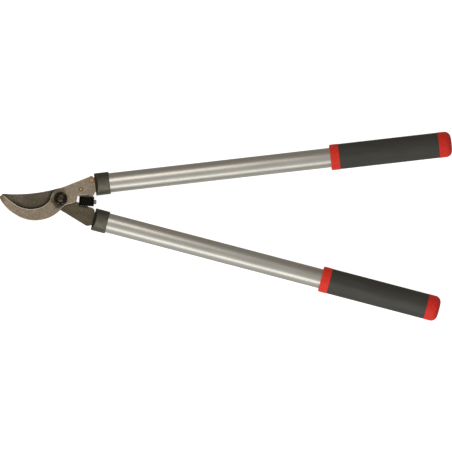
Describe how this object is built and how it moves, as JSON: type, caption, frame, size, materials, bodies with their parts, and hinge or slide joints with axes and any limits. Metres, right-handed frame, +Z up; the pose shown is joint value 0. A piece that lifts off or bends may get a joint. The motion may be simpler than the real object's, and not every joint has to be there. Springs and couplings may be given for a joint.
{
  "type": "bypass loppers",
  "caption": "Long-handled bypass loppers: hooked counter blade and curved cutting blade on a pivot bolt, tubular handles with sleeved grips, rubber stop.",
  "frame": {"origin": "bottom centre of the whole tool lying flat with its handles closed", "axes": "+X from the blades to the grips along the line that halves the angle between the handles, +Z up through the pivot bolt towards its nut, +Y towards the handle of the hooked blade"},
  "size_m": [0.6726, 0.2844, 0.0388],
  "materials": {
    "hook_steel": "matt grey-brown forged steel, edges brighter",
    "blade_steel": "thin dark non-stick coat on ground steel",
    "black_fastener": "oiled black oxide",
    "plain_steel": "plain turned steel, slightly dull",
    "bracket_steel": "dark brown oxide on folded sheet",
    "stop_rubber": "matt black rubber",
    "rivet_copper": "coppery, dull",
    "collar_plastic": "olive black moulded nylon",
    "plug_plastic": "grey moulded plastic",
    "tube_aluminium": "satin brushed along the tube",
    "grip_red": "satin red soft plastic",
    "grip_charcoal": "charcoal foam sleeve, fine matt grain"
  },
  "bodies": {
    "hook_arm": {"hook_blade": "hook_steel", "pivot_bolt": "black_fastener", "pivot_nut": "black_fastener", "lock_washer": "black_fastener", "thrust_washer": "plain_steel", "stop_bracket": "bracket_steel", "stop_bumper": "stop_rubber", "stop_pin": "plain_steel", "bracket_rivet_rear": "rivet_copper", "bracket_rivet_front": "rivet_copper", "collar_upper": "collar_plastic", "tang_plug_upper": "plug_plastic", "tang_pin_upper": "plain_steel", "tube_upper": "tube_aluminium", "grip_ring_upper": "grip_red", "grip_sleeve_upper": "grip_charcoal", "end_cap_upper": "grip_red"},
    "blade_arm": {"cutting_blade": "blade_steel", "strike_lug": "blade_steel", "collar_lower": "collar_plastic", "tang_plug_lower": "plug_plastic", "tang_pin_lower": "plain_steel", "tube_lower": "tube_aluminium", "grip_ring_lower": "grip_red", "grip_sleeve_lower": "grip_charcoal", "end_cap_lower": "grip_red"}
  },
  "joints": [
    {"name": "handle_pivot", "type": "hinge", "parent": "hook_arm", "child": "blade_arm", "pos_m": [-0.24392, 0.00126, 0.0194], "axis": [0, 0, -1], "range_deg": [0, 70]}
  ]
}
